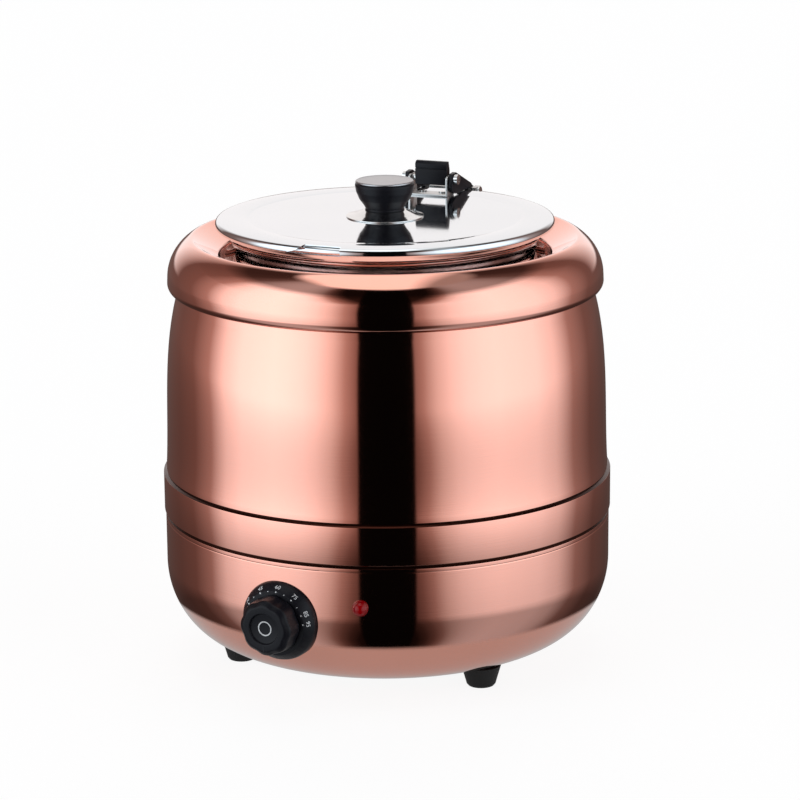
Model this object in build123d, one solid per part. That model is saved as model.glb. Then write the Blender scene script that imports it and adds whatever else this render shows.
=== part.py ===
"""A 10 litre electric buffet soup kettle, one STEP file per piece.

Millimetres. The origin is on the floor at the kettle's axis, +Z is up and the front is -Y.
An azimuth is an angle from the front towards +X.
"""

import os
from math import cos, radians, sin, sqrt

from build123d import *

# Sheet and clearances
SHEET = 1.0
THIN = 0.8
FIT = 0.05  # radial clearance of moving and assembled fits
GAP = 0.1  # gap between stacked pieces

# Copper body, from the floor hole to the top flange
FLOOR_Z = 15.8
FLOOR_HOLE_R = 90
BOWL_EDGE_R = 116.7
BOWL_A = 52.4
BOWL_B = 60.2
BOWL_TOP_Z = FLOOR_Z + BOWL_B
BAND_R = 170
BAND_LOW_Z = 116
BAND_HIGH_Z = 145.5
BAND_STEP = 1.5
BARREL = [(167.9, 147), (166.2, 200), (162.9, 251), (157.5, 279)]
BARREL_TOP_R = 157
BARREL_TOP_Z = 283
FLANGE_R = 150

# Copper top ring
RING_FOOT_Z = BARREL_TOP_Z + SHEET + GAP
RING_R = 163.8
RING_LIP_R = 6
DOME_R = 129.7
DOME_Z = 294
DOME_A = 33.9
DOME_B = 33.75
DOME_END_DEG = 63.2
THROAT_R = 124.4
THROAT_Z = 310.9
THROAT_LOW_Z = 299

# Water well, heater and insulation
WELL_R = 115.5
WELL_FLOOR_Z = 70
WELL_FLANGE_R = 128
HEATER_R = 88
HEATER_T = 4
ELEMENT_R = 70
ELEMENT_TUBE_R = 4
STUD_PCR = 45

# Pot
POT_R = 112.5
POT_FLOOR_Z = 82
POT_CORNER_R = 16
NECK_Z = 311
NECK_TOP_R = 118.3
NECK_TOP_Z = 331
BEAD_R = 119.8
BEAD_Z = 333.6
BEAD_TUBE_R = 3.1
LEDGE_R = 120

# Lid, turned a little on the pot
LID_TURN = -5
LID_FLAT_Z = 337.4
LID_FLAT_R = 102
LID_CREST_R = 114
LID_CREST_Z = 338.2
LID_EDGE_Z = 337.5
LID_ROUND = 3.6
SKIRT_R = 127
SKIRT_LOW_Z = 331.8
NOTCH_Y = -120

# Lid hinge, in the lid's own frame with the hinge at +Y
HINGE_Y = 130
HINGE_Z = 334.7
PIN_R = 2.5
ARM_IN = 16.6
ARM_OUT = 19.6
ARM_LOW_Z = 338.8
EAR_IN = 14.7
EAR_OUT = 16.2
CLAMP_LOW_Z = 327.2
CLAMP_TOP_Z = 338.7
CLAMP_SCREW_X = 9
CLAMP_SCREW_Y = 125.6
FLAP_Y = 93
FLAP_Z = 350.5
FLAP_LEFT = -11.9
FLAP_RIGHT = 14.2
FLAP_LOW_Z = 345.7
FLAP_TOP_Z = 363.9

# Lid knob
KNOB_TOP_Z = 365
GRIP_R = 22.2
NECK_R = 14.4
CAP_T = 1.8
FLANGE_PLATE_R = 29
FLANGE_RISE = 5

# Control, on its own azimuth
CONTROL_AZ = -10
CONTROL_Z = 70.1
DIAL_R = 29.7
DIAL_FACE_Y = -177
CONTROL_R = 21.5
CONTROL_FRONT_Y = -193
CONTROL_SCALLOPS = 8
SHAFT_END_Y = -188
SHAFT_R = 3

# Pilot lamp
LAMP_AZ = 10.9
LAMP_Z = 84.6
LAMP_R = 5.8

# Feet and base
FOOT_AZ = (-58, 54, 178)
FOOT_PCR = 116
FOOT_TOP_R = 15
FOOT_LOW_R = 10.9
BASE_R = 100
BASE_T = 1.2
BASE_SCREW_PCR = 95

# Mains lead behind the kettle
CORD_R = 4
GLAND_Z = 58
HANK_Y = 189.107
HANK_HALF = 45
HANK_BIG_R = 26
HANK_SMALL_R = 15
PLUG_R = 15.5
PLUG_X = -12
CORD_BEND_R = 11

# Smaller features and fastener places
LAMP_STEM_R = 4.5
BUSH_R = 5
GLAND_R = 8
BOSS_X = (-17.5, 17.5)
DISH_R = 11
CREST_ROUND = 3.5
RING_SCREW_PCR = 152.8
RING_SCREW_AZ = [30 + 60 * i for i in range(6)]
BASE_SCREW_AZ = [45 + 90 * i for i in range(4)]
STUD_AZ = (0, 120, 240)
ELEMENT_Z = WELL_FLOOR_Z - THIN - GAP - HEATER_T - GAP - ELEMENT_TUBE_R
ELEMENT_END_AZ = 90
BULB_AZ = -50
BLOCK_AZ = 150
BLOCK_PCR = 103
BLOCK_Z = FLOOR_Z + SHEET + GAP
RIVET_AT = ((-8, 96.5), (8, 96.5))
VENT_R = (35, 60)


def move(shape, x=0, y=0, z=0):
    return Pos(x, y, z) * shape


def tube(outer, inner, low, high):
    """An upright ring, or a disc where inner is 0."""
    body = move(Cylinder(outer, high - low), z=(low + high) / 2)
    if inner:
        body -= move(Cylinder(inner, high - low + 2), z=(low + high) / 2)
    return body


def rod(radius, start, end):
    """A round bar between two points."""
    axis = Vector(*end) - Vector(*start)
    plane = Plane(origin=start, z_dir=axis)
    return extrude(plane * Circle(radius), axis.length)


def block(x, y, z):
    """A box from three (low, high) pairs."""
    size = Box(x[1] - x[0], y[1] - y[0], z[1] - z[0])
    return move(size, (x[0] + x[1]) / 2, (y[0] + y[1]) / 2, (z[0] + z[1]) / 2)


def lathe(*edges):
    """A solid of revolution from edges of its half section in XZ."""
    return revolve(make_face(edges), Axis.Z)


def lathe_polygon(*points):
    return lathe(Polyline(*[(r, 0, z) for r, z in points], close=True))


def turned(shape, azimuth):
    """The shape turned from the front to an azimuth."""
    return Rot(0, 0, azimuth) * shape


def around(shape, azimuths):
    return [turned(shape, a) for a in azimuths]


def on_control(shape):
    return turned(shape, CONTROL_AZ)


def on_lid(shape):
    return turned(shape, LID_TURN)


def screw(radius, length, head_r, head_h):
    """Head down at z 0, shank upwards, with a crossed recess in the head."""
    body = move(Cylinder(radius, length), z=length / 2) + move(Cylinder(head_r, head_h), z=-head_h / 2)
    for angle in (0, 90):
        slot = move(Box(head_r * 1.2, head_r * 0.25, head_h), z=-head_h * 1.1)
        body -= Rot(0, 0, angle) * slot
    return body


def nut(hole_r, height, flats):
    """A hexagon nut standing on z 0."""
    body = extrude(RegularPolygon(flats / 2, 6, major_radius=False), height)
    return body - move(Cylinder(hole_r, height * 3), z=height / 2)


def wire(points, radius):
    """A round wire along a smooth line through the points."""
    path = Spline(*points)
    return sweep(Plane(origin=path @ 0, z_dir=path % 0) * Circle(radius), path=path)


# ---------------------------------------------------------------- housing


def arc_xz(centre, a, b, start, size):
    """Part of an ellipse in the half section's plane, in degrees anticlockwise from +X."""
    return Plane.XZ * EllipticalCenterArc(centre, a, b, start_angle=start, arc_size=size)


def body_envelope(inset):
    """The body's outline filled to the axis and moved inwards by inset."""
    floor = (0, 0, FLOOR_Z + inset)
    wall_r = BOWL_EDGE_R + BOWL_A - inset
    band_r = BAND_R - inset
    barrel = [(r - inset, 0, z) for r, z in BARREL]
    cap = BARREL_TOP_Z + SHEET - inset
    return lathe(
        Polyline(floor, (BOWL_EDGE_R, 0, FLOOR_Z + inset)),
        arc_xz((BOWL_EDGE_R, BOWL_TOP_Z), BOWL_A - inset, BOWL_B - inset, 270, 90),
        Polyline(
            (wall_r, 0, BOWL_TOP_Z),
            (wall_r, 0, BAND_LOW_Z),
            (band_r, 0, BAND_LOW_Z + 1),
            (band_r, 0, BAND_HIGH_Z - BAND_STEP),
            barrel[0],
        ),
        Spline(*barrel),
        Polyline(barrel[-1], (BARREL_TOP_R - inset, 0, cap), (0, 0, cap), floor),
    )


def radial_hole(radius, z, azimuth):
    """A cutter through the body's wall along the azimuth's radius."""
    return turned(rod(radius, (0, -130, z), (0, -230, z)), azimuth)


def body_shell():
    shell = body_envelope(0) - body_envelope(SHEET)
    shell -= tube(FLOOR_HOLE_R, 0, 0, 30)
    shell -= tube(FLANGE_R, 0, 270, 300)
    shell -= radial_hole(LAMP_STEM_R + FIT, LAMP_Z, LAMP_AZ)
    shell -= radial_hole(BUSH_R + FIT, CONTROL_Z, CONTROL_AZ)
    shell -= radial_hole(GLAND_R + FIT, GLAND_Z, 180)
    for x in BOSS_X:
        shell -= on_control(rod(1.7, (x, -140, CONTROL_Z), (x, -190, CONTROL_Z)))
    for hole in around(move(Cylinder(2.2, 8), y=-BASE_SCREW_PCR, z=FLOOR_Z), BASE_SCREW_AZ):
        shell -= hole
    for hole in around(move(Cylinder(2.7, 8), y=-FOOT_PCR, z=FLOOR_Z), FOOT_AZ):
        shell -= hole
    for hole in around(move(Cylinder(2, 12), y=-RING_SCREW_PCR, z=BARREL_TOP_Z), RING_SCREW_AZ):
        shell -= hole
    return shell


def ring_envelope(inset):
    """The top ring filled down to its foot and moved inwards by inset."""
    foot = RING_FOOT_Z + inset
    lip_r = RING_R - RING_LIP_R
    lip_z = RING_FOOT_Z + RING_LIP_R
    end = radians(DOME_END_DEG)
    crest_r = DOME_R + (DOME_A - inset) * cos(end)
    crest_z = DOME_Z + (DOME_B - inset) * sin(end)
    throat = THROAT_R + inset
    solid = lathe(
        Polyline((throat, 0, foot), (lip_r, 0, foot)),
        arc_xz((lip_r, lip_z), RING_LIP_R - inset, RING_LIP_R - inset, 270, 90),
        Polyline((RING_R - inset, 0, lip_z), (DOME_R + DOME_A - inset, 0, DOME_Z)),
        arc_xz((DOME_R, DOME_Z), DOME_A - inset, DOME_B - inset, 0, DOME_END_DEG),
        Polyline(
            (crest_r, 0, crest_z),
            (throat, 0, THROAT_Z - inset / 2),
            (throat, 0, foot),
        ),
    )
    upper = solid.edges().filter_by(GeomType.CIRCLE).filter_by(lambda e: e.center().Z > THROAT_Z - 2)
    return fillet(upper, CREST_ROUND - inset)


def top_ring():
    ring = ring_envelope(0) - ring_envelope(SHEET)
    ring -= tube(FLANGE_R, 0, RING_FOOT_Z - 5, THROAT_LOW_Z)
    for hole in around(move(Cylinder(2, 8), y=-RING_SCREW_PCR, z=RING_FOOT_Z), RING_SCREW_AZ):
        ring -= hole
    return ring


def ring_screws():
    one = move(screw(1.75, 9, 2.6, 2.4), y=-RING_SCREW_PCR, z=BARREL_TOP_Z - GAP)
    return around(one, RING_SCREW_AZ)


def ring_nuts():
    one = move(nut(1.8, 2.8, 6), y=-RING_SCREW_PCR, z=RING_FOOT_Z + SHEET + GAP)
    return around(one, RING_SCREW_AZ)


def water_well():
    outer = WELL_R + THIN
    flange_low = THROAT_LOW_Z - GAP - THIN
    low = WELL_FLOOR_Z - THIN
    solid = tube(outer, 0, low, flange_low + THIN)
    solid = fillet(solid.edges().filter_by(GeomType.CIRCLE).sort_by(Axis.Z)[0], 8)
    hollow = tube(WELL_R, 0, WELL_FLOOR_Z, flange_low + THIN + 5)
    hollow = fillet(hollow.edges().filter_by(GeomType.CIRCLE).sort_by(Axis.Z)[0], 8 - THIN)
    return solid + tube(WELL_FLANGE_R, WELL_R, flange_low, flange_low + THIN) - hollow


def well_insulation():
    jacket = tube(WELL_R + THIN + 11, WELL_R + THIN + 1, 92, 278)
    return jacket - turned(block((-8, 8), (-140, -100), (90, 180)), BULB_AZ)


def heater_plate():
    top = WELL_FLOOR_Z - THIN - GAP
    plate = tube(HEATER_R, 0, top - HEATER_T, top)
    for hole in around(move(Cylinder(2.6, 20), y=-STUD_PCR, z=top), STUD_AZ):
        plate -= hole
    return plate


def heating_element():
    z = ELEMENT_Z
    ring = Plane.XZ * Pos(ELEMENT_R, z) * Circle(ELEMENT_TUBE_R)
    element = Rot(0, 0, 10) * revolve(ring, Axis.Z, revolution_arc=340)
    for azimuth in (ELEMENT_END_AZ - 15, ELEMENT_END_AZ + 15):
        leg = rod(ELEMENT_TUBE_R - 0.5, (0, -ELEMENT_R, z), (0, -ELEMENT_R, z - 16))
        pin = rod(1.2, (0, -ELEMENT_R, z - 15), (0, -ELEMENT_R, z - 24))
        element += turned(leg + pin, azimuth)
    return element


def element_clamp():
    top = ELEMENT_Z - ELEMENT_TUBE_R - GAP
    clamp = tube(HEATER_R - 3, 35, top - 2, top)
    for hole in around(move(Cylinder(2.6, 20), y=-STUD_PCR, z=top), STUD_AZ):
        clamp -= hole
    return clamp - turned(block((-22, 22), (-95, -60), (top - 5, top + 5)), ELEMENT_END_AZ)


def heater_studs():
    top = WELL_FLOOR_Z - THIN
    return around(rod(2.5, (0, -STUD_PCR, top - GAP / 2), (0, -STUD_PCR, top - 22)), STUD_AZ)


def heater_nuts():
    z = ELEMENT_Z - ELEMENT_TUBE_R - 2 * GAP - 2 - 4
    return around(move(nut(2.55, 4, 8), y=-STUD_PCR, z=z), STUD_AZ)


def thermal_cutout():
    top = WELL_FLOOR_Z - THIN - GAP - HEATER_T - GAP
    body = tube(8.5, 0, top - 9, top) + tube(12, 0, top - 1.5, top)
    for x in (-4, 4):
        body += block((x - 0.4, x + 0.4), (-3, 3), (top - 16, top - 8))
    return body


def base_plate():
    low = FLOOR_Z - GAP - BASE_T
    plate = tube(BASE_R, 0, low, low + BASE_T)
    for hole in around(move(Cylinder(2.2, 10), y=-BASE_SCREW_PCR, z=low), BASE_SCREW_AZ):
        plate -= hole
    for vent_r in VENT_R:
        for azimuth in range(0, 360, 30):
            slot = extrude(SlotCenterToCenter(12, 4), 10)
            plate -= Rot(0, 0, azimuth + vent_r) * Pos(vent_r, 0, low - 5) * slot
    return plate


def base_screws():
    one = move(screw(2, 8, 3.8, 2.2), y=-BASE_SCREW_PCR, z=FLOOR_Z - 2 * GAP - BASE_T)
    return around(one, BASE_SCREW_AZ)


def base_nuts():
    one = move(nut(2.05, 3.2, 7), y=-BASE_SCREW_PCR, z=FLOOR_Z + SHEET + GAP)
    return around(one, BASE_SCREW_AZ)


def feet():
    top = FLOOR_Z - GAP / 2
    one = lathe_polygon(
        (2.6, 7), (5.6, 7), (5.6, 0), (FOOT_LOW_R - 1.2, 0), (FOOT_LOW_R, 1.4), (FOOT_TOP_R, top), (2.6, top)
    )
    return around(move(one, y=-FOOT_PCR), FOOT_AZ)


def foot_screws():
    return around(move(screw(2.5, 16, 4.6, 2.6), y=-FOOT_PCR, z=7 - GAP), FOOT_AZ)


def foot_nuts():
    return around(move(nut(2.55, 4, 8), y=-FOOT_PCR, z=FLOOR_Z + SHEET + 0.5), FOOT_AZ)


def thermostat_body():
    front = -157
    case = block((-17, 17), (front, front + 24), (CONTROL_Z - 14, CONTROL_Z + 14))
    case = fillet(case.edges().filter_by(Axis.Y), 3)
    case += rod(BUSH_R, (0, front + 1, CONTROL_Z), (0, -172.5, CONTROL_Z))
    case -= rod(SHAFT_R + FIT, (0, front + 20, CONTROL_Z), (0, -180, CONTROL_Z))
    for x in (-10, 0, 10):
        case += block((x - 3, x + 3), (front + 8, front + 8.8), (CONTROL_Z - 22, CONTROL_Z - 13))
    return on_control(case)


def thermostat_nut():
    ring = Plane((0, -172.4, CONTROL_Z), z_dir=(0, 1, 0)) * RegularPolygon(7, 6, major_radius=False)
    solid = extrude(ring, 2.2) - rod(BUSH_R + FIT, (0, -160, CONTROL_Z), (0, -180, CONTROL_Z))
    return on_control(solid)


def thermostat_shaft():
    shaft = rod(SHAFT_R, (0, -138, CONTROL_Z), (0, SHAFT_END_Y, CONTROL_Z))
    flat = block((-4, 4), (SHAFT_END_Y - 1, -179), (CONTROL_Z + 1.6, CONTROL_Z + 4))
    return on_control(shaft - flat)


def capillary():
    bulb_r = 3
    radius = WELL_R + THIN + bulb_r + 1
    bulb = turned(rod(bulb_r, (0, -radius, 96), (0, -radius, 166)), BULB_AZ)
    low = turned(Pos(0, -radius, 97), BULB_AZ).position
    start = turned(Pos(10, -131.2, CONTROL_Z - 5), CONTROL_AZ).position
    run = turned(Pos(0, -radius - 3, 80), BULB_AZ + 8).position
    mid = turned(Pos(0, -radius - 5, 68), CONTROL_AZ - 10).position
    return bulb + wire([tuple(low), tuple(run), tuple(mid), tuple(start)], 1)


def dial_bezel():
    flank = lathe_polygon(
        (0, 0), (DIAL_R, 0), (DIAL_R, 14), (DIAL_R - 1, 17), (DIAL_R - 5.5, 22), (0, 22)
    )
    flank = Pos(0, DIAL_FACE_Y + 22, CONTROL_Z) * Rot(90, 0, 0) * flank
    pocket = rod(DIAL_R - 8, (0, -150, CONTROL_Z), (0, DIAL_FACE_Y + 2, CONTROL_Z))
    bezel = flank - pocket
    for x in BOSS_X:
        bezel += rod(3.6, (x, -160, CONTROL_Z), (x, DIAL_FACE_Y + 1, CONTROL_Z))
    bezel -= Rot(0, 0, -CONTROL_AZ) * body_envelope(-FIT)
    bezel -= rod(SHAFT_R + 1, (0, -160, CONTROL_Z), (0, -180, CONTROL_Z))
    for x in BOSS_X:
        bezel -= rod(1.55, (x, -160, CONTROL_Z), (x, -174, CONTROL_Z))
    return on_control(bezel)


def bezel_screws():
    screws = []
    for x in BOSS_X:
        upright = screw(1.5, 7, 2.8, 1.8)
        screws.append(on_control(Pos(x, -166.2, CONTROL_Z) * Rot(90, 0, 0) * upright))
    return screws


def control_knob():
    """Scalloped cap that narrows forwards, hollow at the back, with a dish in its front."""
    depth = -CONTROL_FRONT_Y + DIAL_FACE_Y - 1
    knob = lathe_polygon(
        (0, 0), (CONTROL_R, 0), (CONTROL_R - 0.8, depth - 3.5), (CONTROL_R - 2, depth - 1),
        (CONTROL_R - 4, depth), (0, depth)
    )
    for i in range(CONTROL_SCALLOPS):
        angle = 360 / CONTROL_SCALLOPS * (i + 0.5)
        groove = move(Cylinder(9, depth * 2), x=CONTROL_R + 7.7, z=depth + 3)
        knob -= Rot(0, 0, angle) * groove
    knob -= move(Cylinder(DISH_R, 6), z=depth)
    knob -= tube(CONTROL_R - 5, SHAFT_R + 3.5, -1, depth - 6)
    knob -= tube(SHAFT_R + FIT, 0, -1, depth - 4.5)
    return on_control(Pos(0, DIAL_FACE_Y - 1, CONTROL_Z) * Rot(90, 0, 0) * knob)


def knob_disc():
    depth = -CONTROL_FRONT_Y + DIAL_FACE_Y - 1
    disc = tube(DISH_R - FIT, 0, depth - 2.95, depth - 1.6)
    return on_control(Pos(0, DIAL_FACE_Y - 1, CONTROL_Z) * Rot(90, 0, 0) * disc)


def lamp_parts():
    """The lens, the bulb in it and the push-on nut, along the lamp's own radius."""
    wall = 169.2
    dome = Sphere(LAMP_R) & Box(20, 20, 20, align=(Align.CENTER, Align.CENTER, Align.MIN))
    lens = move(dome, z=1.2) + tube(LAMP_R, 0, 0, 1.2) + tube(LAMP_STEM_R, 0, -12, 0.5)
    lens -= tube(3, 0, -13, 2) + move(Sphere(3), z=2)
    bulb = tube(2.2, 0, -14, -1) + move(Sphere(2.2), z=-1)
    ring = tube(7, LAMP_STEM_R + FIT, -3.4, -2)
    place = Rot(0, 0, LAMP_AZ) * Pos(0, -wall - 0.2, LAMP_Z) * Rot(90, 0, 0)
    return [place * lens, place * bulb, place * ring]


def terminal_block():
    body = block((-18, 18), (-BLOCK_PCR - 7, -BLOCK_PCR + 7), (BLOCK_Z, BLOCK_Z + 13))
    for x in (-12, 0, 12):
        body -= rod(1.9, (x, -BLOCK_PCR - 10, BLOCK_Z + 6), (x, -BLOCK_PCR + 10, BLOCK_Z + 6))
    for x in (-6, 6):
        body -= move(Cylinder(1.7, 40), x=x, y=-BLOCK_PCR, z=BLOCK_Z)
    return turned(body, BLOCK_AZ)


def terminal_screws():
    upright = Rot(180, 0, 0) * screw(1.6, 12.8, 2.6, 1.6)
    return [turned(Pos(x, -BLOCK_PCR, BLOCK_Z + 13 + GAP) * upright, BLOCK_AZ) for x in (-6, 6)]


def wiring_harness():
    """Live, neutral, earth and lamp leads round the inside of the floor."""
    def at(azimuth, radius, z):
        return (radius * sin(radians(azimuth)), -radius * cos(radians(azimuth)), z)

    leads = [
        [at(144, 112.5, 24), at(120, 128, 36), at(60, 132, 40), at(10, 134, 42), at(-7, 143, 45)],
        [at(150, 112.5, 24), at(110, 122, 44), at(70, 120, 44), at(30, 128, 46), at(-10, 138, 45)],
        [at(154, 94, 24), at(130, 84, 30), at(100, 78, 32), at(90, 74, 34)],
        [at(-4, 150, 54), at(0, 151, 60), at(6, 150, 74), at(10.5, 150, 83)],
    ]
    return [wire(points, 1.1) for points in leads]


def cord_gland():
    place = Pos(0, gland_wall() + 0.6, GLAND_Z) * Rot(-90, 0, 0)
    outside = place * (tube(11, 0, -6, 2.5) + move(Cone(8.5, 6, 8), z=6.5)) - body_envelope(-FIT)
    body = outside + place * tube(GLAND_R, 0, -14, 0.5)
    return body - place * tube(CORD_R + FIT, 0, -20, 20)


def gland_wall():
    """The body's radius at the gland's height."""
    return BOWL_EDGE_R + BOWL_A * sqrt(1 - ((BOWL_TOP_Z - GLAND_Z) / BOWL_B) ** 2)


def gland_nut():
    ring = nut(GLAND_R + FIT, 4, 20)
    return Pos(0, gland_wall() - 11.5, GLAND_Z) * Rot(-90, 0, 0) * ring


def power_cord():
    """Through the gland, down to the floor and round one turn to the plug."""
    far = HANK_Y
    back = far - 2 * HANK_BIG_R
    lane = back + 2 * HANK_SMALL_R
    z = CORD_R
    half = HANK_HALF
    bend = CORD_BEND_R
    short = bend * (1 - cos(radians(45)))
    path = Wire([
        Line((0, 150, GLAND_Z), (0, far - bend, GLAND_Z)),
        ThreePointArc((0, far - bend, GLAND_Z), (0, far - short, GLAND_Z - short), (0, far, GLAND_Z - bend)),
        Line((0, far, GLAND_Z - bend), (0, far, z + bend)),
        ThreePointArc((0, far, z + bend), (short, far, z + short), (bend, far, z)),
        Line((bend, far, z), (half, far, z)),
        ThreePointArc((half, far, z), (half + HANK_BIG_R, far - HANK_BIG_R, z), (half, back, z)),
        Line((half, back, z), (-half, back, z)),
        ThreePointArc((-half, back, z), (-half - HANK_SMALL_R, back + HANK_SMALL_R, z), (-half, lane, z)),
        Spline((-half, lane, z), (PLUG_X + 1, lane, PLUG_R), tangents=[(1, 0, 0), (1, 0, 0)]),
    ])
    return sweep(Plane(origin=(0, 150, GLAND_Z), z_dir=(0, 1, 0)) * Circle(CORD_R), path=path)


def mains_plug():
    lane = HANK_Y - 2 * HANK_BIG_R + 2 * HANK_SMALL_R
    body = tube(PLUG_R, 0, 14, 44)
    body = fillet(body.edges().filter_by(GeomType.CIRCLE), 3)
    body += move(Cone(6, 9, 16), z=7)
    body -= tube(CORD_R + 0.3, 0, -5, 1.5)
    for y in (-9.5, 9.5):
        body -= move(Cylinder(2.4 + FIT, 20), y=y, z=44)
    return Pos(PLUG_X, lane, PLUG_R) * Rot(0, 90, 0) * body


def plug_pins():
    lane = HANK_Y - 2 * HANK_BIG_R + 2 * HANK_SMALL_R
    one = move(Cylinder(2.4, 28), z=50)
    return [Pos(PLUG_X, lane + y, PLUG_R) * Rot(0, 90, 0) * one for y in (-9.5, 9.5)]


# ---------------------------------------------------------------- pot


def pot_envelope(inset):
    """The pot's outline filled to the axis and moved inwards by inset."""
    wall = POT_R - inset
    top = NECK_TOP_R - inset
    low = POT_FLOOR_Z + inset
    solid = lathe(
        Polyline((0, 0, low), (wall, 0, low), (wall, 0, NECK_Z)),
        Spline((wall, 0, NECK_Z), (top - 2, 0, NECK_TOP_Z - 8), (top, 0, NECK_TOP_Z + 2),
               tangents=[(0.1, 0, 1), (0.12, 0, 1)]),
        Polyline((top, 0, NECK_TOP_Z + 2), (0, 0, NECK_TOP_Z + 2), (0, 0, low)),
    )
    base = solid.edges().filter_by(GeomType.CIRCLE).sort_by(Axis.Z)[0]
    return fillet(base, POT_CORNER_R - inset)


def soup_pot():
    pot = pot_envelope(0)
    pot += tube(LEDGE_R, POT_R - 0.5, THROAT_LOW_Z, THROAT_LOW_Z + 3)
    section = Plane.XZ * Pos(BEAD_R, BEAD_Z) * Circle(BEAD_TUBE_R)
    pot += revolve(section, Axis.Z)
    hollow = pot_envelope(SHEET) + tube(NECK_TOP_R - SHEET, 0, NECK_TOP_Z, NECK_TOP_Z + 20)
    return pot - hollow


def clamp_keepout():
    """The pot's neck and bead, grown by the fit."""
    section = Plane.XZ * Pos(BEAD_R, BEAD_Z) * Circle(BEAD_TUBE_R + GAP)
    return pot_envelope(-GAP) + revolve(section, Axis.Z)


def rim_clamp():
    foot = block((-25, 25), (BEAD_R - 7, HINGE_Y + 5), (CLAMP_LOW_Z - 4, CLAMP_LOW_Z))
    middle = block((-14, 14), (BEAD_R + 3.5, HINGE_Y + 5), (CLAMP_LOW_Z - 0.1, CLAMP_TOP_Z))
    clamp = foot + middle
    for side in (-1, 1):
        x = sorted((side * 20.6, side * 25))
        clamp += block(x, (HINGE_Y - 5, HINGE_Y + 5), (CLAMP_LOW_Z - 0.1, CLAMP_TOP_Z))
    clamp -= clamp_keepout()
    clamp -= tube(BEAD_R, 0, 300, 360)
    clamp -= rod(PIN_R + FIT, (-30, HINGE_Y, HINGE_Z), (30, HINGE_Y, HINGE_Z))
    clamp -= move(Cylinder(1.55, 11), CLAMP_SCREW_X, CLAMP_SCREW_Y, CLAMP_TOP_Z)
    return on_lid(clamp)


def clamp_screw():
    upright = Pos(CLAMP_SCREW_X, CLAMP_SCREW_Y, CLAMP_TOP_Z + GAP) * Rot(180, 0, 0) * screw(1.5, 5, 2.8, 1.8)
    return on_lid(upright)


def hinge_pin():
    return on_lid(rod(PIN_R, (-27, HINGE_Y, HINGE_Z), (27, HINGE_Y, HINGE_Z)))


def pin_washers():
    washers = []
    for x in (-26.7, 25.2):
        ring = rod(4.2, (x, HINGE_Y, HINGE_Z), (x + 1.5, HINGE_Y, HINGE_Z))
        washers.append(on_lid(ring - rod(PIN_R + FIT, (-40, HINGE_Y, HINGE_Z), (40, HINGE_Y, HINGE_Z))))
    return washers


# ---------------------------------------------------------------- lid


def lid_section(drop):
    """The lid's outline filled down to the skirt's edge, with the upper surface lowered by drop."""
    flat = LID_FLAT_Z - drop
    edge = SKIRT_R - LID_ROUND
    bend = LID_ROUND - drop
    bend_z = LID_EDGE_Z - LID_ROUND
    return lathe(
        Polyline((0, 0, SKIRT_LOW_Z), (0, 0, flat), (LID_FLAT_R, 0, flat)),
        ThreePointArc(
            (LID_FLAT_R, 0, flat), (LID_CREST_R, 0, LID_CREST_Z - drop), (edge, 0, LID_EDGE_Z - drop)
        ),
        arc_xz((edge, bend_z), bend, bend, 0, 90),
        Polyline((SKIRT_R - drop, 0, bend_z), (SKIRT_R - drop, 0, SKIRT_LOW_Z), (0, 0, SKIRT_LOW_Z)),
    )


def lid_pan():
    under = lid_section(THIN) + tube(SKIRT_R - THIN, 0, SKIRT_LOW_Z - 2, SKIRT_LOW_Z)
    lid = lid_section(0) - under
    notch = Plane.XZ * make_face(Polyline((-21, 326), (18, 326), (17, 343), (-14, 343), close=True))
    lid -= Pos(0, NOTCH_Y, 0) * extrude(notch, 20)
    lid -= block((-28.5, 28.5), (HINGE_Y - 8.5, 140), (320, 345))
    lid -= tube(2.7, 0, 330, 345)
    for x, y in RIVET_AT:
        lid -= move(Cylinder(1.6, 20), x, y, LID_FLAT_Z)
    return on_lid(lid)


def lid_knob():
    """A bowl-shaped grip on a short neck that stands on the flange."""
    low = LID_FLAT_Z + FLANGE_RISE + GAP
    top = KNOB_TOP_Z - CAP_T - GAP
    body = lathe(
        Polyline((0, 0, low), (NECK_R + 0.5, 0, low), (NECK_R, 0, low + 1.5)),
        Spline((NECK_R, 0, low + 1.5), (NECK_R + 1.6, 0, low + 4.2), (NECK_R + 4.6, 0, low + 8.2),
               (NECK_R + 7, 0, low + 13.9), (GRIP_R, 0, low + 18.4)),
        Polyline((GRIP_R, 0, low + 18.4), (GRIP_R - 0.2, 0, top - 0.8), (GRIP_R - 1, 0, top), (0, 0, top),
                 (0, 0, low)),
    )
    return body - tube(2.05, 0, low - 1, low + 11)


def knob_cap():
    low = KNOB_TOP_Z - CAP_T
    return lathe_polygon(
        (0, low), (GRIP_R - 1, low), (GRIP_R - 0.4, low + 0.4), (GRIP_R - 0.6, low + 1.2),
        (GRIP_R - 1.3, KNOB_TOP_Z), (GRIP_R - 2, KNOB_TOP_Z - 0.3), (0, KNOB_TOP_Z - 0.3),
    )


def knob_flange():
    """A dished plate that rises to the grip's neck."""
    low = LID_FLAT_Z + GAP
    top = LID_FLAT_Z + FLANGE_RISE
    return lathe_polygon(
        (2.7, low), (FLANGE_PLATE_R, low), (FLANGE_PLATE_R, low + 0.7), (NECK_R + 1.6, top), (2.7, top)
    )


def knob_screw():
    under = LID_FLAT_Z - THIN - 1.2 - 2 * GAP
    return move(screw(2, 16, 4, 2.6), z=under)


def knob_washer():
    under = LID_FLAT_Z - THIN - GAP
    return tube(8, 2.1, under - 1.2, under)


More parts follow.
